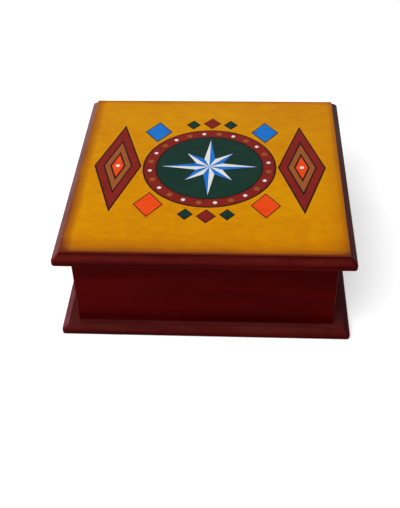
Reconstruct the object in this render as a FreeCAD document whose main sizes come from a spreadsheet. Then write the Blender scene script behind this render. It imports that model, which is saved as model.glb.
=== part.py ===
import FreeCAD, Part
import math
import os
import re

import Sketcher

# Keepsake box of varnished wood. Four rebated walls stand on a moulded base board, and a moulded
# lid with a planted top panel swings on two butt hinges let into the back wall and the lid.
# Millimetres, +Z up, the front faces -Y, and the origin is at the middle of the underside.

sizes = {
    # Case: the walls measured over their outer faces.
    "box_width": 178,
    "box_depth": 182,
    "wall_height": 57,
    "wall_thickness": 9,
    "rebate_lip": 3,
    "wall_edge_radius": 0.6,
    # Base board under the walls.
    "base_thickness": 6.5,
    "base_side_overhang": 11.5,
    "base_front_overhang": 9,
    "base_slope_width": 4.3,
    "base_slope_height": 1.8,
    # Lid board and the panel planted on it.
    "lid_side_overhang": 11,
    "lid_front_overhang": 9,
    "lid_board_thickness": 8.5,
    "lid_slope_width": 5,
    "lid_slope_height": 4,
    "panel_thickness": 1.5,
    "panel_easing": 0.4,
    # Rounding that sanding leaves on both boards.
    "board_corner_radius": 2.2,
    "slope_corner_radius": 0.6,
    "lower_edge_radius": 1.4,
    "upper_edge_radius": 1.6,
    # Felt on the floor.
    "lining_thickness": 1.2,
    "lining_clearance": 0.3,
    # Butt hinges.
    "hinge_length": 30,
    "hinge_inset": 35,
    "leaf_margin": 2,
    "leaf_thickness": 1,
    "leaf_corner_radius": 0.8,
    "knuckle_radius": 1.8,
    "knuckle_gap": 0.2,
    "knuckle_relief": 0.3,
    "mortise_clearance": 0.1,
    "pin_radius": 0.9,
    "pin_end_bevel": 0.3,
    "pin_seat_clearance": 0.02,
    "pin_running_clearance": 0.06,
    # Hinge screws, two in each leaf.
    "hinge_screw_end_distance": 6,
    "hinge_screw_radius": 0.9,
    "hinge_screw_head_radius": 1.65,
    "hinge_screw_cover": 1.5,
    "hinge_screw_slot_width": 0.4,
    "hinge_screw_slot_depth": 0.35,
    "hinge_screw_sink": 0.1,
    # Base screws, two under each wall.
    "base_screw_inset": 40,
    "base_screw_radius": 1.5,
    "base_screw_head_radius": 2.8,
    "base_screw_length": 20,
    "base_screw_slot_width": 0.8,
    "base_screw_slot_depth": 0.8,
    "base_screw_sink": 0.3,
    "screw_clearance": 0.05,
    "screw_tip_room": 0.5,
    # Brads through the side walls into the front and back walls.
    "brad_radius": 0.6,
    "brad_length": 22,
    "brad_cover": 1,
    "brad_margin": 10,
    "brad_clearance": 0.05,
}
brads_in_a_corner = 3
knuckles_in_a_hinge = 5

doc = FreeCAD.newDocument("keepsake_box")
sheet = doc.addObject("Spreadsheet::Sheet", "Sizes")
for row, (alias, number) in enumerate(sizes.items(), start=1):
    sheet.set(f"A{row}", alias)
    sheet.set(f"B{row}", str(number))
    sheet.setAlias(f"B{row}", alias)
doc.recompute()

# Lengths that more than one piece shares, written with the sheet's own names.
lid_width = "(box_width + 2 * lid_side_overhang)"
lid_depth = "(box_depth + 2 * lid_front_overhang)"
base_width = "(box_width + 2 * base_side_overhang)"
base_depth = "(box_depth + 2 * base_front_overhang)"
wall_top = "(base_thickness + wall_height)"
hinge_axis_y = "(box_depth / 2 + knuckle_radius)"
hinge_place = "(box_width / 2 - hinge_inset)"
leaf_width = "(wall_thickness - leaf_margin)"
leaf_reach = f"(knuckle_radius + {leaf_width})"
knuckle_pitch = f"(hinge_length / {knuckles_in_a_hinge})"
hinge_screw_place = "(hinge_length / 2 - hinge_screw_end_distance)"
hinge_screw_length = "(lid_board_thickness - hinge_screw_cover)"
hinge_pilot_depth = f"({hinge_screw_length} + hinge_screw_sink + screw_tip_room)"
base_screw_place_x = "(box_width / 2 - base_screw_inset)"
base_screw_place_y = "(box_depth / 2 - base_screw_inset)"
wall_middle_x = "(box_width / 2 - wall_thickness / 2)"
wall_middle_y = "(box_depth / 2 - wall_thickness / 2)"
brad_depth_in_wall = "((rebate_lip + wall_thickness) / 2)"


def formula(text):
    # Adds the sheet's name to every size named in the text.
    return re.sub(r"[a-z_]+", lambda word: f"Sizes.{word[0]}" if word[0] in sizes else word[0], text)


def value(text):
    return float(sheet.evalExpression(formula(text)))


def bind(item, **properties):
    for name, text in properties.items():
        item.setExpression(name, formula(text))


def place(item, x="0", y="0", z="0"):
    for axis, text in (("x", x), ("y", y), ("z", z)):
        item.setExpression(f"Placement.Base.{axis}", formula(text))


def turn(item, axis, degrees):
    item.Placement = FreeCAD.Placement(FreeCAD.Vector(), FreeCAD.Rotation(axis, degrees))


X_AXIS = FreeCAD.Vector(1, 0, 0)
Z_AXIS = FreeCAD.Vector(0, 0, 1)


def new_body(label):
    body = doc.addObject("PartDesign::Body", label)
    body.Label = label
    return body


def origin_feature(body, role):
    return next(item for item in body.Origin.OriginFeatures if item.Role == role)


def new_sketch(body, name, plane, x="0", y="0", offset="0"):
    # x and y move the sketch in its own plane, and offset moves it along the plane's normal.
    sketch = body.newObject("Sketcher::SketchObject", f"{body.Name}_{name}")
    sketch.AttachmentSupport = [(origin_feature(body, plane), "")]
    sketch.MapMode = "FlatFace"
    for axis, text in (("x", x), ("y", y), ("z", offset)):
        sketch.setExpression(f"AttachmentOffset.Base.{axis}", formula(text))
    return sketch


def fix_point(sketch, geometry, point, x, y):
    for kind, text in (("DistanceX", x), ("DistanceY", y)):
        number = sketch.addConstraint(Sketcher.Constraint(kind, -1, 1, geometry, point, value(text)))
        sketch.setExpression(f"Constraints[{number}]", formula(text))


def fix_radius(sketch, geometry, radius):
    number = sketch.addConstraint(Sketcher.Constraint("Radius", geometry, value(radius)))
    sketch.setExpression(f"Constraints[{number}]", formula(radius))


def draw_outline(sketch, corners):
    # A closed outline of straight lines through corners given as pairs of formulas.
    first = sketch.GeometryCount
    count = len(corners)
    points = [FreeCAD.Vector(value(x), value(y), 0) for x, y in corners]
    for index in range(count):
        sketch.addGeometry(Part.LineSegment(points[index], points[(index + 1) % count]), False)
    for index, (x, y) in enumerate(corners):
        following = first + (index + 1) % count
        sketch.addConstraint(Sketcher.Constraint("Coincident", first + index, 2, following, 1))
        fix_point(sketch, first + index, 1, x, y)


def draw_rectangle(sketch, left, right, bottom, top):
    draw_outline(sketch, [(left, bottom), (right, bottom), (right, top), (left, top)])


def draw_circle(sketch, x, y, radius):
    centre = FreeCAD.Vector(value(x), value(y), 0)
    circle = sketch.addGeometry(Part.Circle(centre, Z_AXIS, value(radius)), False)
    fix_point(sketch, circle, 3, x, y)
    fix_radius(sketch, circle, radius)


def draw_rounded_rectangle(sketch, width, depth, radius):
    # Centred on the sketch's origin: a line and a corner arc for each side, anticlockwise.
    half_x, half_y, round_off = value(width) / 2, value(depth) / 2, value(radius)
    quarter = math.pi / 2
    signs = [(1, -1), (1, 1), (-1, 1), (-1, -1)]
    for index, (sign_x, sign_y) in enumerate(signs):
        centre = FreeCAD.Vector(sign_x * (half_x - round_off), sign_y * (half_y - round_off), 0)
        start = (index - 1) * quarter
        arc = Part.ArcOfCircle(Part.Circle(centre, Z_AXIS, round_off), start, start + quarter)
        sketch.addGeometry(arc, False)
    for index in range(4):
        start = sketch.Geometry[index].EndPoint
        end = sketch.Geometry[(index + 1) % 4].StartPoint
        sketch.addGeometry(Part.LineSegment(start, end), False)
    for index, (sign_x, sign_y) in enumerate(signs):
        line = 4 + index
        sketch.addConstraint(Sketcher.Constraint("Tangent", index, 2, line, 1))
        sketch.addConstraint(Sketcher.Constraint("Tangent", line, 2, (index + 1) % 4, 1))
        x = f"{sign_x} * ({width} / 2 - {radius})"
        y = f"{sign_y} * ({depth} / 2 - {radius})"
        fix_point(sketch, index, 3, x, y)
    for index in range(1, 4):
        sketch.addConstraint(Sketcher.Constraint("Equal", 0, index))
    fix_radius(sketch, 0, radius)


def add_pad(body, name, sketch, length, symmetric=False):
    pad = body.newObject("PartDesign::Pad", f"{body.Name}_{name}")
    pad.Profile = sketch
    pad.SideType = "Symmetric" if symmetric else "One side"
    bind(pad, Length=length)
    doc.recompute()
    return pad


def add_pocket(body, name, sketch, length, reverse=False, symmetric=False):
    # A pocket cuts against its sketch's normal, or along it when reversed.
    before = body.Shape.Volume
    pocket = body.newObject("PartDesign::Pocket", f"{body.Name}_{name}")
    pocket.Profile = sketch
    pocket.Reversed = reverse
    pocket.SideType = "Symmetric" if symmetric else "One side"
    bind(pocket, Length=length)
    doc.recompute()
    if body.Shape.Volume >= before:
        raise RuntimeError(f"{pocket.Name} cuts nothing")
    return pocket


def add_revolution(body, name, sketch, axis):
    # A full turn about one of the sketch's own axes.
    revolution = body.newObject("PartDesign::Revolution", f"{body.Name}_{name}")
    revolution.Profile = sketch
    revolution.ReferenceAxis = (sketch, [axis])
    doc.recompute()
    return revolution


def add_countersinks(body, name, sketch, radius, head_radius, sink, reverse=False):
    # Holes right through, countersunk for a 90 degree head that lies just below the face.
    before = body.Shape.Volume
    hole = body.newObject("PartDesign::Hole", f"{body.Name}_{name}")
    hole.Profile = sketch
    hole.ThreadType = "None"
    hole.DepthType = "ThroughAll"
    hole.HoleCutType = "Countersink"
    hole.HoleCutCustomValues = True
    hole.HoleCutCountersinkAngle = 90
    hole.Reversed = reverse
    bind(
        hole,
        Diameter=f"2 * ({radius} + screw_clearance)",
        HoleCutDiameter=f"2 * ({head_radius} + {sink} + screw_clearance)",
    )
    doc.recompute()
    if body.Shape.Volume >= before:
        raise RuntimeError(f"{hole.Name} cuts nothing")
    return hole


def edges_where(feature, test):
    return [f"Edge{number}" for number, edge in enumerate(feature.Shape.Edges, start=1) if test(edge)]


def lies_at_height(height):
    # True for an edge that lies wholly at one height of its body.
    return lambda edge: all(abs(level - height) < 1e-6 for level in (edge.BoundBox.ZMin, edge.BoundBox.ZMax))


def add_fillet(body, name, feature, test, radius):
    fillet = body.newObject("PartDesign::Fillet", f"{body.Name}_{name}")
    fillet.Base = (feature, edges_where(feature, test))
    bind(fillet, Radius=radius)
    doc.recompute()
    return fillet


def add_pattern(body, name, features, first, second=None):
    # first and second are (role of an origin axis, overall length, count).
    pattern = body.newObject("PartDesign::LinearPattern", f"{body.Name}_{name}")
    pattern.Originals = features
    axis, length, count = first
    pattern.Direction = (origin_feature(body, axis), [""])
    pattern.Occurrences = count
    bind(pattern, Length=length)
    if second:
        axis, length, count = second
        pattern.Direction2 = (origin_feature(body, axis), [""])
        pattern.Occurrences2 = count
        bind(pattern, Length2=length)
    body.Tip = pattern
    doc.recompute()
    return pattern


def corner_limit(radius):
    # An easing that runs round a board's corners stays smaller than their radius.
    return f"min({radius}; 0.8 * board_corner_radius)"


def moulded_board(label, width, depth, thickness, slope_width, slope_height):
    # An upright band with rounded corners, then a slope up to a smaller top, all edges eased.
    body = new_body(label)
    band_height = f"({thickness} - {slope_height})"
    band_outline = new_sketch(body, "band_outline", "XY_Plane")
    draw_rounded_rectangle(band_outline, width, depth, "board_corner_radius")
    add_pad(body, "band", band_outline, band_height)
    slope_foot = new_sketch(body, "slope_foot", "XY_Plane", offset=band_height)
    draw_rounded_rectangle(slope_foot, width, depth, "board_corner_radius")
    slope_head = new_sketch(body, "slope_head", "XY_Plane", offset=thickness)
    draw_rounded_rectangle(
        slope_head, f"({width} - 2 * {slope_width})", f"({depth} - 2 * {slope_width})", "slope_corner_radius"
    )
    slope = body.newObject("PartDesign::AdditiveLoft", f"{label}_slope")
    slope.Profile = slope_foot
    slope.Sections = [slope_head]
    slope.Ruled = True
    doc.recompute()
    lower = add_fillet(body, "lower_edge", slope, lies_at_height(0), corner_limit("lower_edge_radius"))
    foot = lies_at_height(value(band_height))
    add_fillet(body, "upper_edge", lower, foot, corner_limit("upper_edge_radius"))
    return body


def base_board():
    body = moulded_board(
        "base_board", base_width, base_depth, "base_thickness", "base_slope_width", "base_slope_height"
    )
    holes = new_sketch(body, "screw_places", "XY_Plane")
    lines = [(base_screw_place_x, wall_middle_y), (wall_middle_x, base_screw_place_y)]
    for x, y in lines:
        for sign_x in (-1, 1):
            for sign_y in (-1, 1):
                draw_circle(holes, f"{sign_x} * {x}", f"{sign_y} * {y}", "base_screw_radius")
    add_countersinks(
        body, "countersinks", holes, "base_screw_radius", "base_screw_head_radius", "base_screw_sink", True
    )
    return body


def wall(label, outline, screw_place, turned, x="0", y="0"):
    # Local frame: X along the wall, Y from its outer face inwards, Z up from its foot.
    body = new_body(label)
    turn(body, Z_AXIS, turned)
    place(body, x, y, "base_thickness")
    plan = new_sketch(body, "plan", "XY_Plane")
    draw_outline(plan, outline)
    add_pad(body, "board", plan, "wall_height")
    pilots = new_sketch(body, "screw_places", "XY_Plane")
    for sign in (-1, 1):
        radius = "base_screw_radius + screw_clearance"
        draw_circle(pilots, f"{sign} * {screw_place}", "wall_thickness / 2", radius)
    depth = "base_screw_length + base_screw_sink - base_thickness + screw_tip_room"
    add_pocket(body, "screw_pilots", pilots, depth, reverse=True)
    return body


def stands_on_outer_face(edge):
    return edge.BoundBox.ZLength > 1e-6 and edge.BoundBox.YMax < 1e-6 and edge.BoundBox.XLength < 1e-6


def brad_heights():
    # Evenly spaced between a margin at the wall's foot and the same margin at its top.
    spaces = brads_in_a_corner - 1
    span = "(wall_height - 2 * brad_margin)"
    return [f"(brad_margin + {step} / {spaces} * {span})" for step in range(brads_in_a_corner)]


def rebated_wall(label, turned, y):
    # Front or back wall: a rebate at each end takes a side wall, behind a thin outer lip.
    half = "box_width / 2"
    shoulder = "(box_width / 2 - wall_thickness)"
    outline = [
        (f"-{half}", "0"),
        (half, "0"),
        (half, "rebate_lip"),
        (shoulder, "rebate_lip"),
        (shoulder, "wall_thickness"),
        (f"-{shoulder}", "wall_thickness"),
        (f"-{shoulder}", "rebate_lip"),
        (f"-{half}", "rebate_lip"),
    ]
    body = wall(label, outline, base_screw_place_x, turned, y=y)
    add_fillet(body, "outer_edges", body.Tip, stands_on_outer_face, "wall_edge_radius")
    depth = "brad_length + brad_cover - wall_thickness + screw_tip_room"
    for name, sign in (("left", -1), ("right", 1)):
        ends = new_sketch(body, f"{name}_brad_places", "YZ_Plane", offset=f"{sign} * {shoulder}")
        for height in brad_heights():
            draw_circle(ends, brad_depth_in_wall, height, "brad_radius + brad_clearance")
        add_pocket(body, f"{name}_brad_holes", ends, depth, reverse=sign < 0)
    return body


def side_wall(label, turned, x):
    # A side wall fills the space between the two lips, with its ends in the rebates.
    half = "(box_depth / 2 - rebate_lip)"
    outline = [
        (f"-{half}", "0"),
        (half, "0"),
        (half, "wall_thickness"),
        (f"-{half}", "wall_thickness"),
    ]
    body = wall(label, outline, base_screw_place_y, turned, x=x)
    places = new_sketch(body, "brad_places", "XZ_Plane", offset="-wall_thickness")
    for sign in (-1, 1):
        for height in brad_heights():
            along = f"{sign} * (box_depth / 2 - {brad_depth_in_wall})"
            draw_circle(places, along, height, "brad_radius + brad_clearance")
    add_pocket(body, "brad_holes", places, "wall_thickness - brad_cover", reverse=True)
    return body


def draw_hinge_seats(mortises, pilots, near, far, screw_line):
    # A shallow rectangle for each hinge leaf, and a pilot hole for each of its screws.
    for side in (-1, 1):
        middle = f"{side} * {hinge_place}"
        half = "(hinge_length / 2 + mortise_clearance)"
        draw_rectangle(mortises, f"{middle} - {half}", f"{middle} + {half}", near, far)
        for sign in (-1, 1):
            along = f"{middle} + {sign} * {hinge_screw_place}"
            draw_circle(pilots, along, screw_line, "hinge_screw_radius + screw_clearance")


def back_wall():
    body = rebated_wall("back_wall", 180, "box_depth / 2")
    mortises = new_sketch(body, "mortise_places", "XY_Plane", offset="wall_height")
    pilots = new_sketch(body, "hinge_screw_places", "XY_Plane", offset="wall_height")
    inner_end = f"{leaf_width} + mortise_clearance"
    draw_hinge_seats(mortises, pilots, "-knuckle_radius", inner_end, f"{leaf_width} / 2")
    add_pocket(body, "hinge_mortises", mortises, "leaf_thickness")
    add_pocket(body, "hinge_screw_pilots", pilots, hinge_pilot_depth)
    return body


def floor_lining():
    body = new_body("floor_lining")
    place(body, z="base_thickness")
    outline = new_sketch(body, "outline", "XY_Plane")
    inset = "2 * (wall_thickness + lining_clearance)"
    half_x = f"((box_width - {inset}) / 2)"
    half_y = f"((box_depth - {inset}) / 2)"
    draw_rectangle(outline, f"-{half_x}", half_x, f"-{half_y}", half_y)
    add_pad(body, "felt", outline, "lining_thickness")
    return body


def lid_board():
    body = moulded_board(
        "lid_board", lid_width, lid_depth, "lid_board_thickness", "lid_slope_width", "lid_slope_height"
    )
    place(body, z=wall_top)
    mortises = new_sketch(body, "mortise_places", "XY_Plane")
    pilots = new_sketch(body, "hinge_screw_places", "XY_Plane")
    inner_end = f"box_depth / 2 - {leaf_width} - mortise_clearance"
    draw_hinge_seats(mortises, pilots, inner_end, hinge_axis_y, f"box_depth / 2 - {leaf_width} / 2")
    add_pocket(body, "hinge_mortises", mortises, "leaf_thickness", reverse=True)
    add_pocket(body, "hinge_screw_pilots", pilots, hinge_pilot_depth, reverse=True)
    groove_length = "hinge_length + 2 * mortise_clearance"
    for name, side in (("left", -1), ("right", 1)):
        section = new_sketch(body, f"{name}_knuckle_section", "YZ_Plane", offset=f"{side} * {hinge_place}")
        draw_circle(section, hinge_axis_y, "0", "knuckle_radius + knuckle_relief")
        add_pocket(body, f"{name}_knuckle_groove", section, groove_length, symmetric=True)
    return body


def lid_panel():
    body = new_body("lid_panel")
    place(body, z=f"{wall_top} + lid_board_thickness")
    outline = new_sketch(body, "outline", "XY_Plane")
    draw_rounded_rectangle(
        outline,
        f"({lid_width} - 2 * lid_slope_width)",
        f"({lid_depth} - 2 * lid_slope_width)",
        "slope_corner_radius",
    )
    board = add_pad(body, "board", outline, "panel_thickness")
    top = lies_at_height(value("panel_thickness"))
    add_fillet(body, "easing", board, top, "min(panel_easing; 0.8 * slope_corner_radius)")
    return body


def stands_at_far_end(edge):
    box = edge.BoundBox
    return box.ZLength > 1e-6 and box.XLength < 1e-6 and box.YMin > value(leaf_reach) - 1e-6


def hinge_leaf(label, middle, leaf_side, cut_knuckles, bore_clearance):
    # Local frame: X along the pin, Y from the pin into the box, Z up. leaf_side is -1 for the leaf
    # below the meeting plane and 1 for the one above it.
    body = new_body(label)
    turn(body, Z_AXIS, 180)
    place(body, middle, hinge_axis_y, wall_top)
    low, high = ("-leaf_thickness", "0") if leaf_side < 0 else ("0", "leaf_thickness")
    plate_section = new_sketch(body, "plate_section", "YZ_Plane")
    draw_rectangle(plate_section, "0", leaf_reach, low, high)
    plate = add_pad(body, "plate", plate_section, "hinge_length", symmetric=True)
    add_fillet(body, "plate_corners", plate, stands_at_far_end, "leaf_corner_radius")
    barrel_section = new_sketch(body, "barrel_section", "YZ_Plane")
    draw_circle(barrel_section, "0", "0", "knuckle_radius")
    add_pad(body, "barrel", barrel_section, "hinge_length", symmetric=True)
    bore_section = new_sketch(body, "bore_section", "YZ_Plane")
    draw_circle(bore_section, "0", "0", f"pin_radius + {bore_clearance}")
    add_pocket(body, "bore", bore_section, "hinge_length", symmetric=True)
    gaps = new_sketch(body, "knuckle_gaps", "XY_Plane")
    for number in cut_knuckles:
        draw_rectangle(
            gaps,
            f"{number} * {knuckle_pitch} - hinge_length / 2 - knuckle_gap / 2",
            f"{number + 1} * {knuckle_pitch} - hinge_length / 2 + knuckle_gap / 2",
            "-2 * knuckle_radius",
            "knuckle_radius + knuckle_relief",
        )
    add_pocket(body, "knuckle_slots", gaps, "4 * knuckle_radius", symmetric=True)
    holes = new_sketch(body, "screw_places", "XY_Plane")
    screw_line = f"knuckle_radius + {leaf_width} / 2"
    for sign in (-1, 1):
        draw_circle(holes, f"{sign} * {hinge_screw_place}", screw_line, "hinge_screw_radius")
    add_countersinks(
        body,
        "countersinks",
        holes,
        "hinge_screw_radius",
        "hinge_screw_head_radius",
        "hinge_screw_sink",
        leaf_side > 0,
    )
    return body


def hinge_pin(label, middle):
    body = new_body(label)
    place(body, middle, hinge_axis_y, wall_top)
    profile = new_sketch(body, "profile", "XY_Plane")
    end, shoulder = "hinge_length / 2", "(hinge_length / 2 - pin_end_bevel)"
    draw_outline(
        profile,
        [
            (f"-{end}", "0"),
            (end, "0"),
            (end, "pin_radius - pin_end_bevel"),
            (shoulder, "pin_radius"),
            (f"-{shoulder}", "pin_radius"),
            (f"-{end}", "pin_radius - pin_end_bevel"),
        ],
    )
    add_revolution(body, "rod", profile, "H_Axis")
    return body


def add_screw(body, name, size, length, x="0", y="0"):
    # A slotted countersunk screw that points down from the body's own origin plane.
    head, shank = f"{size}_head_radius", f"{size}_radius"
    profile = new_sketch(body, f"{name}_profile", "XZ_Plane", x=x, offset=f"-({y})")
    draw_outline(
        profile,
        [
            ("0", "0"),
            (head, "0"),
            (shank, f"{shank} - {head}"),
            (shank, f"2 * {shank} - {length}"),
            ("0", f"-{length}"),
        ],
    )
    turned = add_revolution(body, f"{name}_turned", profile, "V_Axis")
    slot_outline = new_sketch(body, f"{name}_slot_outline", "XY_Plane", x=x, y=y)
    half = f"{size}_slot_width / 2"
    draw_rectangle(slot_outline, f"-{head}", head, f"-{half}", half)
    return [turned, add_pocket(body, f"{name}_slot", slot_outline, f"{size}_slot_depth")]


def hinge_screws(label, middle, points_up):
    body = new_body(label)
    sink = "-hinge_screw_sink"
    if points_up:
        turn(body, X_AXIS, 180)
        sink = "hinge_screw_sink"
    place(
        body,
        f"{middle} - {hinge_screw_place}",
        f"box_depth / 2 - {leaf_width} / 2",
        f"{wall_top} + {sink}",
    )
    screw = add_screw(body, "screw", "hinge_screw", hinge_screw_length)
    add_pattern(body, "pair", screw, ("X_Axis", f"2 * {hinge_screw_place}", 2))
    return body


def base_screws():
    # Two screws under each wall: a grid for the front and back walls, and one for the side walls.
    body = new_body("base_screws")
    turn(body, X_AXIS, 180)
    place(body, z="base_screw_sink")
    lines = {
        "front_and_back": (base_screw_place_x, wall_middle_y),
        "sides": (wall_middle_x, base_screw_place_y),
    }
    for name, (x, y) in lines.items():
        screw = add_screw(body, name, "base_screw", "base_screw_length", f"-{x}", f"-{y}")
        add_pattern(body, f"{name}_grid", screw, ("X_Axis", f"2 * {x}", 2), ("Y_Axis", f"2 * {y}", 2))
    return body


def corner_brads():
    # Headless brads, driven through the side walls into the front and back walls and filled over.
    body = new_body("corner_brads")
    place(body, z="base_thickness")
    line = f"(box_depth / 2 - {brad_depth_in_wall})"
    brads = []
    for name, sign in (("left", -1), ("right", 1)):
        profile = new_sketch(
            body,
            f"{name}_profile",
            "XY_Plane",
            x=f"{sign} * (box_width / 2 - brad_cover)",
            y=f"-{line}",
            offset="brad_margin",
        )
        corners = [
            ("0", "0"),
            ("0", "brad_radius"),
            ("brad_length - 2 * brad_radius", "brad_radius"),
            ("brad_length", "0"),
        ]
        draw_outline(profile, [(f"{-sign} * ({x})", y) for x, y in corners])
        brads.append(add_revolution(body, f"{name}_brad", profile, "H_Axis"))
    add_pattern(
        body,
        "corners",
        brads,
        ("Z_Axis", "wall_height - 2 * brad_margin", brads_in_a_corner),
        ("Y_Axis", f"2 * {line}", 2),
    )
    return body


pieces = [
    base_board(),
    rebated_wall("front_wall", 0, "-box_depth / 2"),
    back_wall(),
    side_wall("left_wall", -90, "-box_width / 2"),
    side_wall("right_wall", 90, "box_width / 2"),
    floor_lining(),
    lid_board(),
    lid_panel(),
    base_screws(),
    corner_brads(),
]
lid_knuckles = range(1, knuckles_in_a_hinge, 2)
wall_knuckles = range(0, knuckles_in_a_hinge, 2)
for side_name, side_sign in (("left", -1), ("right", 1)):
    hinge_middle = f"{side_sign} * {hinge_place}"
    hinge = f"{side_name}_hinge"
    pieces += [
        hinge_leaf(f"{hinge}_wall_leaf", hinge_middle, -1, lid_knuckles, "pin_seat_clearance"),
        hinge_leaf(f"{hinge}_lid_leaf", hinge_middle, 1, wall_knuckles, "pin_running_clearance"),
        hinge_pin(f"{hinge}_pin", hinge_middle),
        hinge_screws(f"{hinge}_wall_screws", hinge_middle, False),
        hinge_screws(f"{hinge}_lid_screws", hinge_middle, True),
    ]
doc.recompute()

sketches = [item for item in doc.Objects if item.isDerivedFrom("Sketcher::SketchObject")]
faults = [item.Name for item in doc.Objects if {"Invalid", "Error"} & set(item.State)]
faults += [item.Name for item in sketches if not item.FullyConstrained]
faults += [item.Label for item in pieces if item.Shape.isNull() or not item.Shape.isValid()]
if faults:
    raise RuntimeError(f"These did not build: {faults}")

os.makedirs("parts", exist_ok=True)
for item in pieces:
    item.Shape.exportStep(f"parts/{item.Label}.step")
    print(f"{item.Label}: {len(item.Shape.Solids)} solids, {item.Shape.Volume:.1f} mm3")
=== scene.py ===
import math

import bmesh
import bpy
from mathutils import Matrix, Vector, noise


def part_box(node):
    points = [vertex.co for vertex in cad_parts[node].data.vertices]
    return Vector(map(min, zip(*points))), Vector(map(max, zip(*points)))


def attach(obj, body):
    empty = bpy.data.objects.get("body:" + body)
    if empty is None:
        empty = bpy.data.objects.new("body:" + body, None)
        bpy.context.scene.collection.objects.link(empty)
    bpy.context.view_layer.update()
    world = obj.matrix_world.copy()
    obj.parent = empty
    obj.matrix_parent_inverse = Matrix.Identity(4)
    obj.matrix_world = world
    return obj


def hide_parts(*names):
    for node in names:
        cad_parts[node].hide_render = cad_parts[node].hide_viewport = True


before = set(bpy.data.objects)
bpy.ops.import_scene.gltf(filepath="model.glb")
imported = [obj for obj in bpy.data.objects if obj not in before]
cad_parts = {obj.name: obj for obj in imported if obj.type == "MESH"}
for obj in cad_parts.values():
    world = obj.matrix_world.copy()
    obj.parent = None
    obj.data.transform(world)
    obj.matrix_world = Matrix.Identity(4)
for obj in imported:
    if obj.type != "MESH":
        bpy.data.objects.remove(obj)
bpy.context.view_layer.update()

scene = bpy.context.scene
scene.view_settings.view_transform = "Standard"
mm = 0.001


# colours are written as sRGB levels, 0 to 255
def colour(red, green, blue):
    levels = []
    for level in (red / 255, green / 255, blue / 255):
        levels.append(level / 12.92 if level <= 0.04045 else ((level + 0.055) / 1.055) ** 2.4)
    return (*levels, 1.0)


# node helpers: an input is a socket to link or a plain value
def addNode(tree, kind, settings=None, **inputs):
    node = tree.nodes.new(kind)
    for name, value in (settings or {}).items():
        setattr(node, name, value)
    for name, value in inputs.items():
        feed(tree, node.inputs[name.replace("_", " ")], value)
    return node


def feed(tree, socket, value):
    if isinstance(value, bpy.types.NodeSocket):
        tree.links.new(value, socket)
    else:
        socket.default_value = value


def calc(tree, operation, first, second):
    node = addNode(tree, "ShaderNodeMath", {"operation": operation})
    feed(tree, node.inputs[0], first)
    feed(tree, node.inputs[1], second)
    return node.outputs[0]


def multiply(tree, first, *others):
    for other in others:
        first = calc(tree, "MULTIPLY", first, other)
    return first


# sum of sockets, each with its weight
def weigh(tree, *pairs):
    total = 0.0
    for value, weight in pairs:
        total = calc(tree, "ADD", total, multiply(tree, value, weight))
    return total


def remap(tree, value, fromLow, fromHigh, toLow, toHigh, smooth=False):
    blend = "SMOOTHSTEP" if smooth else "LINEAR"
    node = addNode(tree, "ShaderNodeMapRange", {"interpolation_type": blend})
    for index, number in enumerate((value, fromLow, fromHigh, toLow, toHigh)):
        feed(tree, node.inputs[index], number)
    return node.outputs[0]


def blendColours(tree, share, first, second):
    node = addNode(tree, "ShaderNodeMix", {"data_type": "RGBA"})
    feed(tree, node.inputs[0], share)
    feed(tree, node.inputs[6], first)
    feed(tree, node.inputs[7], second)
    return node.outputs[2]


def ramp(tree, share, stops, tones):
    node = addNode(tree, "ShaderNodeValToRGB", Fac=share)
    marks = node.color_ramp.elements
    while len(marks) < len(stops):
        marks.new(0.5)
    for mark, stop, tone in zip(marks, stops, tones):
        mark.position = stop
        mark.color = tone
    return node.outputs[0]


def separate(tree, vector):
    return addNode(tree, "ShaderNodeSeparateXYZ", Vector=vector).outputs


# noise about 0.5, with a scale per metre for all axes or for each; the offset picks another part of it
def cloudNoise(tree, place, scale, offset, detail=4.0, roughness=0.55):
    mapping = addNode(tree, "ShaderNodeMapping", Vector=place)
    mapping.inputs["Scale"].default_value = scale if isinstance(scale, tuple) else (scale,) * 3
    mapping.inputs["Location"].default_value = (offset, offset * 1.7, offset * 0.6)
    texture = addNode(tree, "ShaderNodeTexNoise", Vector=mapping.outputs[0], Scale=1.0)
    texture.inputs["Detail"].default_value = detail
    texture.inputs["Roughness"].default_value = roughness
    return texture.outputs[0]


# noise drawn out along the grain, with the length and width of its marks in mm
def grainNoise(tree, place, axis, size, offset, detail=4.0):
    along, across = 1 / (size[0] * mm), 1 / (size[1] * mm)
    scale = (along, across, across) if axis == "x" else (across, along, across)
    return cloudNoise(tree, place, scale, offset, detail)


# noise stretched over a range
def spread(tree, value, low, high):
    return remap(tree, value, 0.3, 0.7, low, high)


def newMaterial(name):
    material = bpy.data.materials.new(name)
    material.use_nodes = True
    tree = material.node_tree
    place = addNode(tree, "ShaderNodeTexCoord").outputs["Object"]
    return material, tree, tree.nodes["Principled BSDF"], place


def addBump(tree, shader, height, strength, depth):
    bump = addNode(tree, "ShaderNodeBump", Height=height, Strength=strength, Distance=depth * mm)
    feed(tree, shader.inputs["Normal"], bump.outputs[0])


# clear varnish over a dyed ground: its sheen takes the ground's hue face on, and is white at a slant
def varnish(shader, hue, shine):
    shader.inputs["Specular IOR Level"].default_value = shine
    shader.inputs["Specular Tint"].default_value = hue


# how far a spot is round an arris, 0 on a flat and 1 on the edge
def edgeShare(tree, radius):
    soft = addNode(tree, "ShaderNodeBevel", {"samples": 6}, Radius=radius)
    plain = addNode(tree, "ShaderNodeNewGeometry")
    product = addNode(tree, "ShaderNodeVectorMath", {"operation": "DOT_PRODUCT"})
    feed(tree, product.inputs[0], soft.outputs[0])
    feed(tree, product.inputs[1], plain.outputs["Normal"])
    return remap(tree, product.outputs["Value"], 0.99, 0.88, 0.0, 1.0)


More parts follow.
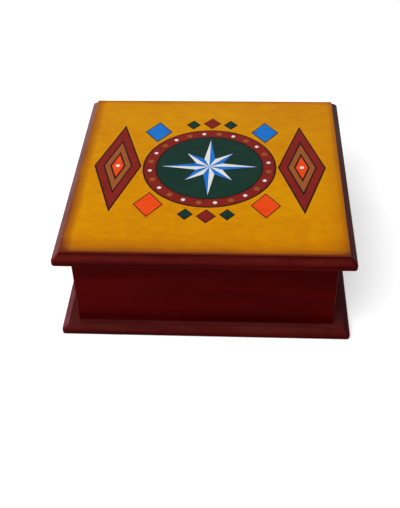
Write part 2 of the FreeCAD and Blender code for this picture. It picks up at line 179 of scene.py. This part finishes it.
# mesh helpers
def finishPiece(name, mesh, material, body):
    bmesh.ops.recalc_face_normals(mesh, faces=mesh.faces)
    data = bpy.data.meshes.new(name)
    mesh.to_mesh(data)
    mesh.free()
    piece = bpy.data.objects.new(name, data)
    scene.collection.objects.link(piece)
    data.materials.append(material)
    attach(piece, body)
    return piece


def roundEdges(mesh, edges, radius, steps):
    bmesh.ops.bevel(
        mesh,
        geom=edges,
        offset=radius * mm,
        segments=steps,
        profile=0.5,
        affect="EDGES",
        material=-1,
    )


def extrudeUp(mesh, faces, height):
    raised = bmesh.ops.extrude_face_region(mesh, geom=faces)["geom"]
    lifted = [item for item in raised if isinstance(item, bmesh.types.BMVert)]
    bmesh.ops.translate(mesh, verts=lifted, vec=(0, 0, height))


def dress(nodeName, material):
    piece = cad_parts[nodeName]
    piece.data.materials.clear()
    piece.data.materials.append(material)


# camera, fitted to the edges of the box in the photograph
cameraPlace = {
    "eye": (26.74, -509.59, 431.98),  # mm
    "heading": -3.97,  # degrees, seen from above
    "dip": 40.855,
    "roll": -1.685,
    "focalPixels": 848.3,
    "framePixels": 508,  # the long side
}


def makeCamera(values):
    heading, dip, roll = (math.radians(values[name]) for name in ("heading", "dip", "roll"))
    ahead = Vector((math.sin(heading) * math.cos(dip), math.cos(heading) * math.cos(dip), -math.sin(dip)))
    level = Vector((math.cos(heading), -math.sin(heading), 0))
    upright = level.cross(ahead)
    right = level * math.cos(roll) + upright * math.sin(roll)
    up = upright * math.cos(roll) - level * math.sin(roll)
    data = bpy.data.cameras.new("camera")
    data.sensor_width = 36
    data.lens = values["focalPixels"] * data.sensor_width / values["framePixels"]
    data.clip_start = 0.01
    data.clip_end = 50
    camera = bpy.data.objects.new("camera", data)
    turn = Matrix((right, up, -ahead)).transposed().to_4x4()
    camera.matrix_world = Matrix.Translation(Vector(values["eye"]) * mm) @ turn
    scene.collection.objects.link(camera)
    scene.camera = camera


makeCamera(cameraPlace)
print("camera placed")


# red stained boards under a gloss varnish
redVarnish = {
    "deep": colour(42, 1, 2),
    "middle": colour(60, 1, 2),
    "warm": colour(77, 7, 6),
    "stops": (0.34, 0.5, 0.68),  # noise levels of those three
    "worn": colour(110, 48, 40),
    "pore": colour(24, 2, 3),
    "cloud": (120, 45),  # length and width of the marks along the grain, mm
    "streak": (110, 3.2),
    "fine": (40, 0.8),
    "pores": (9, 0.35),
    "patch": (26, 9),
    "mix": (0.5, 0.5),  # weights of streak and cloud
    "fineCut": (0.45, 0.75),  # noise levels from none to most
    "fineShare": 0.25,
    "poreCut": (0.62, 0.72),
    "poreShare": 0.5,
    "patchCut": (0.35, 0.65),
    "patchShare": (0.65, 1.2),  # least and most of the thin stain and its painted light
    "thinAndLitRest": 0.2,  # share of it left above its range
    "sideTurn": 0.35,  # x of the normal on a side slope, where the painted light of that side is full
    "frontTurn": (-0.2, -0.5),  # y of the normal, from none of the seam to all
    "upTurn": (-0.4, 0.2),  # y of the normal, from none of the painted shade at the panel's foot to all
    "edgeWidth": 1.1,  # mm
    "edgeDull": 0.15,  # roughness that wear adds
    "rubScale": 60,  # per m
    "rubCut": (0.4, 0.7),
    "rubShare": (0.1, 0.75),
    "smearScale": 25,
    "gloss": (0.29, 0.43),  # roughness, least and most
    "sheen": (1.0, 0.12, 0.1, 1.0),
    "reliefMix": (0.5, -0.6),  # weights of streak and pores
    "relief": (0.25, 0.12),  # strength, and depth in mm
}
wall = {
    "grain": "x",
    "wear": 0.15,
    "shine": 0.02,
    # painted light: the walls are painted lighter part way up, and darker towards the lid and the foot,
    # where shade falls
    "thinAndLitHeights": (9, 20, 64),
    "thinAndLitShare": 0.5,
    "thinAndLitTones": (colour(80, 4, 5),) * 3,
}
boards = {
    "base_board": {
        "grain": "x",  # way that the grain runs
        "seed": 0.0,  # place in the tree
        "wear": 0.6,  # of the arrises
        "shine": 0.03,
        "thinAndLitHeights": (2.6, 6.2, 10.5),  # mm between which the stain is thin and painted lighter, with the peak
        "thinAndLitShare": 0.75,
        "thinAndLitTones": (colour(120, 50, 57), colour(84, 32, 30), colour(44, 12, 11)),  # left, ahead and right: painted sheen on slopes that face left, painted shade on slopes that face right
    },
    "front_wall": wall | {"seed": 4.1},
    "back_wall": wall | {"seed": 9.6},
    "left_wall": wall | {"seed": 13.3, "grain": "y"},
    "right_wall": wall | {"seed": 17.9, "grain": "y"},
    "lid_board": {
        "grain": "x",
        "seed": 22.4,
        "wear": 0.6,
        "shine": 0.03,
        "thinAndLitHeights": (66, 69.6, 72.6),
        "thinAndLitShare": 0.7,
        "thinAndLitTones": (colour(120, 40, 36), colour(86, 24, 21), colour(52, 1, 2)),
        "paintedFootShade": (70.6, 72, 0.5),  # mm between which the front slope darkens to the panel, and how much: painted shade at the panel's foot
    },
}


# how thin the stain is at each height, and in patches; the thin tone is partly painted light: painted sheen
# and lift on the slopes and ledge, painted shade under the lid and at the walls' foot
def thinStainAndPaintedLight(tree, place, level, board):
    low, peak, high = (height * mm for height in board["thinAndLitHeights"])
    above = remap(tree, level, low, peak, 0.0, board["thinAndLitShare"], smooth=True)
    below = remap(tree, level, peak, high, 1.0, redVarnish["thinAndLitRest"], smooth=True)
    patches = grainNoise(tree, place, "x", redVarnish["patch"], 83.0, 3.0)
    patches = remap(tree, patches, *redVarnish["patchCut"], *redVarnish["patchShare"])
    return multiply(tree, above, below, patches)


def redWood(name, board):
    values = redVarnish
    axis, seed = board["grain"], board["seed"]
    material, tree, shader, place = newMaterial(name)
    level = separate(tree, place)[2]
    facing = separate(tree, addNode(tree, "ShaderNodeTexCoord").outputs["Normal"])
    cloud = grainNoise(tree, place, axis, values["cloud"], seed, 2.0)
    streak = grainNoise(tree, place, axis, values["streak"], seed)
    fine = grainNoise(tree, place, axis, values["fine"], seed + 3, 3.0)
    pores = grainNoise(tree, place, axis, values["pores"], seed + 7, 2.0)
    pores = remap(tree, pores, *values["poreCut"], 0.0, 1.0)

    mixed = weigh(tree, *zip((streak, cloud), values["mix"]))
    tone = ramp(tree, mixed, values["stops"], (values["deep"], values["middle"], values["warm"]))
    fine = remap(tree, fine, *values["fineCut"], 0.0, values["fineShare"])
    tone = blendColours(tree, fine, tone, values["deep"])
    # the thin tone follows the way a slope faces: painted sheen on the left, painted shade on the right
    turn = values["sideTurn"]
    sideways = remap(tree, facing[0], -turn, turn, 0.0, 1.0)
    thinAndLitTone = ramp(tree, sideways, (0.0, 0.5, 1.0), board["thinAndLitTones"])
    tone = blendColours(tree, thinStainAndPaintedLight(tree, place, level, board), tone, thinAndLitTone)
    # painted shade on the front slope where it meets the panel
    if "paintedFootShade" in board:
        low, high, share = board["paintedFootShade"]
        paintedFootShade = remap(tree, level, low * mm, high * mm, 0.0, share, smooth=True)
        toFront = remap(tree, facing[1], *values["frontTurn"], 0.0, 1.0)
        tone = blendColours(tree, multiply(tree, paintedFootShade, toFront), tone, values["deep"])
    tone = blendColours(tree, multiply(tree, pores, values["poreShare"]), tone, values["pore"])

    # arrises wear where they don't face down
    rub = cloudNoise(tree, place, values["rubScale"], seed + 11, 3.0)
    rub = remap(tree, rub, *values["rubCut"], *values["rubShare"])
    rub = multiply(tree, rub, remap(tree, facing[2], *values["upTurn"], 0.0, 1.0))
    edge = multiply(tree, edgeShare(tree, values["edgeWidth"] * mm), rub)
    tone = blendColours(tree, multiply(tree, edge, board["wear"]), tone, values["worn"])
    feed(tree, shader.inputs["Base Color"], tone)

    smear = cloudNoise(tree, place, values["smearScale"], seed + 17, 3.0)
    roughness = spread(tree, smear, *values["gloss"])
    feed(tree, shader.inputs["Roughness"], weigh(tree, (roughness, 1.0), (edge, values["edgeDull"])))
    varnish(shader, values["sheen"], board["shine"])
    height = weigh(tree, *zip((streak, pores), values["reliefMix"]))
    addBump(tree, shader, height, *values["relief"])
    return material


for nodeName, board in boards.items():
    dress(nodeName, redWood("red_varnish_" + nodeName, board))
print("boards stained and varnished")


# metals of the hinges, screws and brads
metals = {
    "hinge_brass": {
        "bright": colour(206, 164, 84),
        "dull": colour(170, 128, 62),
        "stain": colour(110, 78, 40),
        "gloss": (0.2, 0.42),
    },
    "zinc_steel": {
        "bright": colour(196, 198, 200),
        "dull": colour(150, 152, 154),
        "stain": colour(96, 92, 86),
        "gloss": (0.24, 0.45),
    },
}
metalMarks = {
    "brushScale": (180, 2600, 2600),  # per m
    "brushStops": (0.2, 0.6),  # noise levels of dull and bright
    "spotScale": 420,
    "spotCut": (0.55, 0.8),  # noise levels from none to most
    "spotShare": 0.5,
    "glossCut": (0.35, 0.7),
    "relief": (0.15, 0.02),  # strength, and depth in mm
}


def metal(name):
    values = metals[name] | metalMarks
    material, tree, shader, place = newMaterial(name)
    brushed = cloudNoise(tree, place, values["brushScale"], 2.0, 3.0)
    spots = cloudNoise(tree, place, values["spotScale"], 6.0)
    tone = ramp(tree, brushed, values["brushStops"], (values["dull"], values["bright"]))
    stained = remap(tree, spots, *values["spotCut"], 0.0, values["spotShare"])
    feed(tree, shader.inputs["Base Color"], blendColours(tree, stained, tone, values["stain"]))
    shader.inputs["Metallic"].default_value = 1.0
    feed(tree, shader.inputs["Roughness"], remap(tree, spots, *values["glossCut"], *values["gloss"]))
    addBump(tree, shader, brushed, *values["relief"])
    return material


brass = metal("hinge_brass")
zinc = metal("zinc_steel")
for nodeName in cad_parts:
    if "hinge" in nodeName:
        dress(nodeName, brass)
    elif "screws" in nodeName or "brads" in nodeName:
        dress(nodeName, zinc)
print("hinges, screws and brads dressed")


# yellow panel on the lid, shaded to brown at its edges
panelShape = {
    "paintDepth": 0.24,  # mm that the panel lies below the paint's top
    "edgeRound": 0.4,
    "edgeSteps": 3,
}
yellowStain = {
    "deep": colour(200, 124, 3),
    "middle": colour(208, 137, 2),
    "pale": colour(215, 145, 3),
    "stops": (0.38, 0.5, 0.62),  # noise levels of those three
    "amber": colour(192, 111, 4),
    "scorch": colour(118, 56, 20),
    "dark": colour(98, 38, 26),
    "pore": colour(140, 76, 6),
    "streak": (28, 2.2),  # length and width of the marks along the grain, mm
    "fine": (22, 0.7),
    "mottle": (8, 5),
    "pores": (6, 0.3),
    "cloudScale": (9, 16, 16),  # per m
    "mix": (0.18, 0.36, 0.46),  # weights of streak, cloud and mottle
    "fineCut": (0.5, 0.75),  # noise levels from none to most
    "fineShare": 0.2,
    "poreCut": (0.6, 0.72),
    "poreShare": 0.3,
    "shades": {  # mm inwards from each side, and how dark at its front or left end and at the other
        "left": ((8.5, 0.9, 0.55), (2, 0.25, 0.05)),
        "right": ((15, 0.3, 0.08), (4.5, 0.24, 0.4)),
        "front": ((17, 0.52, 0.22), (5, 0.32, 0.48)),
        "back": ((7, 0.28, 0.28), (2, 0.3, 0.3)),
    },
    "turns": {  # shade from which each tone comes in, shade of its most, and the most
        "amber": (0.0, 0.5, 0.9),
        "scorch": (0.05, 1.0, 0.95),
        "dark": (0.8, 1.5, 0.9),
    },
    "wander": 0.8,  # mm that the shading wanders
    "wanderScale": 30,  # per m
    "line": (1.0, 0.9),  # mm of dark line along the front, and how dark
    "smearScale": 22,
    "gloss": (0.26, 0.4),  # roughness, least and most
    "shine": 0.03,
    "sheen": (1.0, 0.6, 0.02, 1.0),
    "reliefMix": (0.5, -0.5),  # weights of streak and pores
    "relief": (0.25, 0.1),  # strength, and depth in mm
}


# distance of a spot from each side of the panel
def sideReach(tree, across, along, low, high):
    return {
        "left": calc(tree, "SUBTRACT", across, low.x),
        "right": calc(tree, "SUBTRACT", high.x, across),
        "front": calc(tree, "SUBTRACT", along, low.y),
        "back": calc(tree, "SUBTRACT", high.y, along),
    }


def panelWood(name, low, high):
    values = yellowStain
    material, tree, shader, place = newMaterial(name)
    streak = grainNoise(tree, place, "x", values["streak"], 31.0)
    fine = grainNoise(tree, place, "x", values["fine"], 37.0, 3.0)
    cloud = cloudNoise(tree, place, values["cloudScale"], 41.0, 2.0)
    mottle = grainNoise(tree, place, "x", values["mottle"], 43.0)
    pores = grainNoise(tree, place, "x", values["pores"], 59.0, 2.0)
    pores = remap(tree, pores, *values["poreCut"], 0.0, 1.0)

    mixed = weigh(tree, *zip((streak, cloud, mottle), values["mix"]))
    tone = ramp(tree, mixed, values["stops"], (values["deep"], values["middle"], values["pale"]))
    fine = remap(tree, fine, *values["fineCut"], 0.0, values["fineShare"])
    tone = blendColours(tree, fine, tone, values["deep"])
    tone = blendColours(tree, multiply(tree, pores, values["poreShare"]), tone, values["pore"])

    # each side's bands of shade add up, and turn the yellow to amber, then brown
    spot = separate(tree, place)
    wander = values["wander"] * mm
    wobble = cloudNoise(tree, place, values["wanderScale"], 47.0, 2.0)
    wobble = spread(tree, wobble, -wander, wander)
    reach = sideReach(tree, spot[0], spot[1], low, high)
    shade = 0.0
    for side, bands in values["shades"].items():
        axis = 1 if side in ("left", "right") else 0
        wavy = calc(tree, "ADD", reach[side], wobble)
        for width, first, last in bands:
            strength = remap(tree, spot[axis], low[axis], high[axis], first, last)
            shade = calc(tree, "ADD", shade, remap(tree, wavy, 0.0, width * mm, strength, 0.0))
    for turned, (start, full, most) in values["turns"].items():
        tone = blendColours(tree, remap(tree, shade, start, full, 0.0, most), tone, values[turned])
    lineWidth, lineShare = values["line"]
    rim = remap(tree, reach["front"], 0.0, lineWidth * mm, lineShare, 0.0, smooth=True)
    feed(tree, shader.inputs["Base Color"], blendColours(tree, rim, tone, values["dark"]))

    smear = cloudNoise(tree, place, values["smearScale"], 53.0, 3.0)
    feed(tree, shader.inputs["Roughness"], spread(tree, smear, *values["gloss"]))
    varnish(shader, values["sheen"], values["shine"])
    height = weigh(tree, *zip((streak, pores), values["reliefMix"]))
    addBump(tree, shader, height, *values["relief"])
    return material


def makePanel(values):
    low, high = (Vector(corner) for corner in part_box("lid_panel"))
    top = high.z - values["paintDepth"] * mm
    size = Vector((high.x - low.x, high.y - low.y, top - low.z))
    middle = Vector(((low.x + high.x) / 2, (low.y + high.y) / 2, (low.z + top) / 2))
    mesh = bmesh.new()
    bmesh.ops.create_cube(mesh, size=1, matrix=Matrix.Translation(middle) @ Matrix.Diagonal((*size, 1)))
    upper = [edge for edge in mesh.edges if all(vertex.co.z > middle.z for vertex in edge.verts)]
    corners = [edge for edge in mesh.edges if abs(edge.verts[0].co.z - edge.verts[1].co.z) > 1e-6]
    roundEdges(mesh, upper + corners, values["edgeRound"], values["edgeSteps"])
    stain = panelWood("yellow_stain", low, high)
    panel = finishPiece("yellow_panel", mesh, stain, "lid")
    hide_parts("lid_panel")
    return top


panelTop = makePanel(panelShape)
print("lid panel made")


# painted design on the panel: a star roundel, lozenges and small diamonds
design = {
    "middle": (0, 2),  # mm on the panel
    "filmStep": 0.06,  # mm that each coat of paint adds
    "roundel": 49,
    "ringOuter": 47.8,
    "ringInner": 39.6,
    "discRadius": 38.4,
    "roundSides": 96,
    "ringDots": 24,  # tan and white in turn
    "tanDot": 2.1,
    "whiteDot": 1.47,
    "dotSides": 20,
    "starLong": 35,
    "starShort": 24,
    "starWaist": 10.5,
    "starLine": 1.1,  # mm of outline at the waist
    "starTip": 2.2,  # times as much at the tips
    "lozengePlace": 67.5,
    "lozengeSize": (17.5, 55),  # half width and half depth
    "lozengeBands": (("red", 0.93, 0.62), ("tan", 0.55, 0.33), ("orange", 0.25, 0.0)),
    "lozengeDot": 1.6,
    "sprigs": (  # x, y, half width, half depth, colour
        (41, 46, 9.5, 13, "blue"),
        (41, -46, 9.5, 13, "orange"),
        (0, 58.5, 6, 6.5, "red"),
        (14.5, 56.5, 4.6, 5.2, "green"),
        (0, -58.5, 6, 6.5, "red"),
        (14.5, -56.5, 4.6, 5.2, "green"),
    ),
    "sprigLine": (1.0, 1.2),  # mm of outline, across and along
}
paintTones = {
    "outline": (colour(26, 16, 13), colour(40, 24, 18)),
    "green": (colour(17, 44, 37), colour(24, 55, 45)),
    "red": (colour(118, 30, 25), colour(136, 38, 30)),
    "orange": (colour(226, 66, 20), colour(236, 82, 30)),
    "tan": (colour(142, 76, 38), colour(158, 88, 46)),
    "blue": (colour(24, 104, 190), colour(36, 120, 206)),
    "white": (colour(214, 216, 212), colour(228, 230, 226)),
}
paintMarks = {
    "brushScale": (60, 700, 700),  # per m
    "blotchScale": 90,
    "stops": (0.35, 0.65),  # noise levels of the dark and the light tone
    "gloss": (0.28, 0.42),  # roughness, least and most
    "shine": 0.03,
    "relief": (0.15, 0.04),  # strength, and depth in mm
}


def paint(name):
    values = paintMarks
    dark, light = paintTones[name]
    material, tree, shader, place = newMaterial("paint_" + name)
    brush = cloudNoise(tree, place, values["brushScale"], 61.0, 3.0)
    blotch = cloudNoise(tree, place, values["blotchScale"], 67.0, 3.0)
    mixed = weigh(tree, (brush, 0.5), (blotch, 0.5))
    feed(tree, shader.inputs["Base Color"], ramp(tree, mixed, values["stops"], (dark, light)))
    feed(tree, shader.inputs["Roughness"], spread(tree, blotch, *values["gloss"]))
    strongest = max(light[:3])
    varnish(shader, tuple(level / strongest for level in light[:3]) + (1.0,), values["shine"])
    addBump(tree, shader, brush, *values["relief"])
    return material


films = {name: bmesh.new() for name in paintTones}


# a flat outline is thickened into a film whose foot is sunk in the coat below
def thicken(mesh, faces, coat):
    step = design["filmStep"] * mm
    for vertex in {vertex for face in faces for vertex in face.verts}:
        vertex.co.z = panelTop + (coat - 0.5) * step
    extrudeUp(mesh, faces, 1.5 * step)


def onPanel(x, y):
    return Matrix.Translation(((design["middle"][0] + x) * mm, (design["middle"][1] + y) * mm, 0))


def outlineVerts(mesh, x, y, halfWidth, halfDepth, sides, filled):
    placed = onPanel(x, y) @ Matrix.Diagonal((halfWidth * mm, halfDepth * mm, 1, 1))
    return bmesh.ops.create_circle(mesh, cap_ends=filled, segments=sides, radius=1, matrix=placed)["verts"]


def addDisc(tone, coat, x, y, halfWidth, halfDepth, sides):
    mesh = films[tone]
    rim = outlineVerts(mesh, x, y, halfWidth, halfDepth, sides, True)
    thicken(mesh, list(rim[0].link_faces), coat)


def addRing(tone, coat, x, y, outer, inner, sides):
    mesh = films[tone]
    loops = []
    for halfWidth, halfDepth in (outer, inner):
        rim = outlineVerts(mesh, x, y, halfWidth, halfDepth, sides, False)
        loops += dict.fromkeys(edge for vertex in rim for edge in vertex.link_edges)
    thicken(mesh, bmesh.ops.bridge_loops(mesh, edges=loops)["faces"], coat)


# flat star of four long and four short points, its outline grown by some mm
def starFaces(mesh, grow):
    values = design
    lengths = (values["starLong"], values["starWaist"], values["starShort"], values["starWaist"])
    growths = (grow * values["starTip"], grow)
    centre = onPanel(0, 0).translation
    rim = outlineVerts(mesh, 0, 0, 1, 1, 16, True)
    for index, vertex in enumerate(rim):
        reach = (lengths[index % 4] + growths[index % 2]) * mm
        vertex.co = centre + (vertex.co - centre).normalized() * reach
    return list(rim[0].link_faces)


def addStar():
    outline = films["outline"]
    thicken(outline, starFaces(outline, design["starLine"]), 2)
    for offset, tone in enumerate(("white", "blue")):
        mesh = films[tone]
        split = bmesh.ops.poke(mesh, faces=starFaces(mesh, 0))["faces"]
        kept = split[offset::2]
        bmesh.ops.delete(mesh, geom=[face for face in split if face not in kept], context="FACES")
        for face in kept:
            thicken(mesh, [face], 3)


def addRoundel():
    values = design
    outer, inner, sides = values["ringOuter"], values["ringInner"], values["roundSides"]
    addDisc("outline", 0, 0, 0, values["roundel"], values["roundel"], sides)
    addRing("red", 1, 0, 0, (outer, outer), (inner, inner), sides)
    addDisc("green", 1, 0, 0, values["discRadius"], values["discRadius"], sides)
    reach = (outer + inner) / 2
    for index in range(values["ringDots"]):
        angle = 2 * math.pi * (index + 0.5) / values["ringDots"]
        tone = "tan" if index % 2 else "white"
        radius = values[tone + "Dot"]
        x, y = reach * math.cos(angle), reach * math.sin(angle)
        addDisc(tone, 2, x, y, radius, radius, values["dotSides"])
    addStar()


def addLozenge(x):
    values = design
    width, depth = values["lozengeSize"]
    addDisc("outline", 0, x, 0, width, depth, 4)
    for tone, first, last in values["lozengeBands"]:
        if last:
            addRing(tone, 1, x, 0, (width * first, depth * first), (width * last, depth * last), 4)
        else:
            addDisc(tone, 1, x, 0, width * first, depth * first, 4)
    addDisc("white", 2, x, 0, values["lozengeDot"], values["lozengeDot"], values["dotSides"])


def addSprig(x, y, width, depth, tone):
    across, along = design["sprigLine"]
    addDisc("outline", 0, x, y, width + across, depth + along, 4)
    addDisc(tone, 1, x, y, width, depth, 4)


addRoundel()
for side in (-1, 1):
    addLozenge(side * design["lozengePlace"])
for x, y, width, depth, tone in design["sprigs"]:
    for side in (-1, 1) if x else (1,):
        addSprig(side * x, y, width, depth, tone)
for tone, mesh in films.items():
    finishPiece("lid_paint_" + tone, mesh, paint(tone), "lid")
print("lid design painted in", len(films), "colours")


# felt on the floor inside
feltSheet = {
    "cells": 48,  # along each side
    "thickness": 1.1,  # mm
    "unevenness": 0.12,
    "unevenScale": 60,  # per m
    "edgeRound": 0.4,
    "edgeSteps": 3,
    "deep": colour(14, 40, 26),
    "middle": colour(24, 62, 41),
    "pale": colour(44, 88, 62),
    "stops": (0.36, 0.5, 0.66),  # noise levels of those three
    "fibreScale": (900, 1500, 1500),  # per m
    "hairScale": (2600, 700, 1500),
    "blotchScale": 28,
    "blotchCut": (0.4, 0.7),  # noise levels from none to most
    "blotchShare": 0.4,
    "roughness": 0.95,
    "shine": 0.1,
    "sheen": (0.35, 0.5),  # weight and roughness
    "relief": (0.6, 0.25),  # strength, and depth in mm
}


def feltMaterial(values):
    material, tree, shader, place = newMaterial("green_felt")
    fibres = cloudNoise(tree, place, values["fibreScale"], 71.0, 6.0, 0.7)
    hairs = cloudNoise(tree, place, values["hairScale"], 73.0, 6.0, 0.7)
    blotch = cloudNoise(tree, place, values["blotchScale"], 79.0, 3.0)
    mixed = weigh(tree, (fibres, 0.5), (hairs, 0.5))
    tone = ramp(tree, mixed, values["stops"], (values["deep"], values["middle"], values["pale"]))
    blotch = remap(tree, blotch, *values["blotchCut"], 0.0, values["blotchShare"])
    feed(tree, shader.inputs["Base Color"], blendColours(tree, blotch, tone, values["deep"]))
    shader.inputs["Roughness"].default_value = values["roughness"]
    shader.inputs["Specular IOR Level"].default_value = values["shine"]
    shader.inputs["Sheen Weight"].default_value = values["sheen"][0]
    shader.inputs["Sheen Roughness"].default_value = values["sheen"][1]
    addBump(tree, shader, mixed, *values["relief"])
    return material


def makeFelt(values):
    low, high = (Vector(corner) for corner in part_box("floor_lining"))
    size = high - low
    thickness = values["thickness"] * mm
    top = low.z + thickness
    cells = values["cells"]
    mesh = bmesh.new()
    placed = Matrix.Translation(((low.x + high.x) / 2, (low.y + high.y) / 2, low.z))
    placed = placed @ Matrix.Diagonal((size.x / 2, size.y / 2, 1, 1))
    bmesh.ops.create_grid(mesh, x_segments=cells, y_segments=cells, size=1, matrix=placed)
    extrudeUp(mesh, mesh.faces[:], thickness)
    rim = [edge for edge in mesh.edges if all(vertex.co.z > top - 1e-6 for vertex in edge.verts)]
    rim = [edge for edge in rim if any(abs(face.normal.z) < 0.5 for face in edge.link_faces)]
    roundEdges(mesh, rim, values["edgeRound"], values["edgeSteps"])
    for vertex in mesh.verts:  # the nap isn't quite level
        if vertex.co.z > low.z + thickness / 2:
            vertex.co.z += values["unevenness"] * mm * noise.noise(vertex.co * values["unevenScale"])
    felt = finishPiece("floor_felt", mesh, feltMaterial(values), "case")
    for face in felt.data.polygons:
        face.use_smooth = True
    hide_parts("floor_lining")


makeFelt(feltSheet)
print("felt laid")


# plain floor and soft studio light
studio = {
    "floorColour": colour(235, 235, 235),
    "floorLift": (0.42, 0.85),  # added near the box and far off, for what the camera and reflections see
    "floorFade": (0.5, 2.2),  # m from the box
    "floorSize": 8.0,  # m
    "floorRoughness": 0.9,
    "ambient": 0.3,
    "aim": (0, 0, 0.05),  # m
    "lamps": {  # place in m, size in m, watts
        "softbox": ((-0.55, -0.85, 1.35), 1.5, 25.6),
        "window": ((-1.22, 1.12, 0.3), 0.9, 9.2),
        "fill": ((1.6, 0.0, 0.55), 0.9, 4.5),
    },
}


# 1 for rays from the camera, a mirror or a glass, 0 for the light that falls on the object
def seenShare(tree):
    path = addNode(tree, "ShaderNodeLightPath")
    share = calc(tree, "MAXIMUM", path.outputs["Is Camera Ray"], path.outputs["Is Glossy Ray"])
    return calc(tree, "MAXIMUM", share, path.outputs["Is Transmission Ray"])


def makeFloor(values):
    material, tree, shader, place = newMaterial("pale_floor")
    shader.inputs["Base Color"].default_value = values["floorColour"]
    shader.inputs["Roughness"].default_value = values["floorRoughness"]
    shader.inputs["Specular IOR Level"].default_value = 0.0
    shader.inputs["Emission Color"].default_value = (1, 1, 1, 1)
    away = addNode(tree, "ShaderNodeVectorMath", {"operation": "LENGTH"}, Vector=place).outputs["Value"]
    lift = remap(tree, away, *values["floorFade"], *values["floorLift"], smooth=True)
    feed(tree, shader.inputs["Emission Strength"], multiply(tree, lift, seenShare(tree)))
    mesh = bmesh.new()
    bmesh.ops.create_grid(mesh, x_segments=1, y_segments=1, size=values["floorSize"] / 2)
    data = bpy.data.meshes.new("floor")
    mesh.to_mesh(data)
    mesh.free()
    floor = bpy.data.objects.new("floor", data)
    data.materials.append(material)
    scene.collection.objects.link(floor)


def makeWorld(values):
    world = bpy.data.worlds.new("studio")
    world.use_nodes = True
    tree = world.node_tree
    sky = tree.nodes["Background"].inputs
    sky["Color"].default_value = (1, 1, 1, 1)
    feed(tree, sky["Strength"], remap(tree, seenShare(tree), 0.0, 1.0, values["ambient"], 1.0))
    scene.world = world


def makeLamps(values):
    for name, (place, size, watts) in values["lamps"].items():
        light = bpy.data.lights.new(name, "AREA")
        light.size = size
        light.energy = watts
        lamp = bpy.data.objects.new(name, light)
        aim = Vector(values["aim"]) - Vector(place)
        lamp.matrix_world = Matrix.Translation(place) @ aim.to_track_quat("-Z", "Y").to_matrix().to_4x4()
        lamp.visible_camera = False
        scene.collection.objects.link(lamp)


makeFloor(studio)
makeWorld(studio)
makeLamps(studio)
print("studio lit")
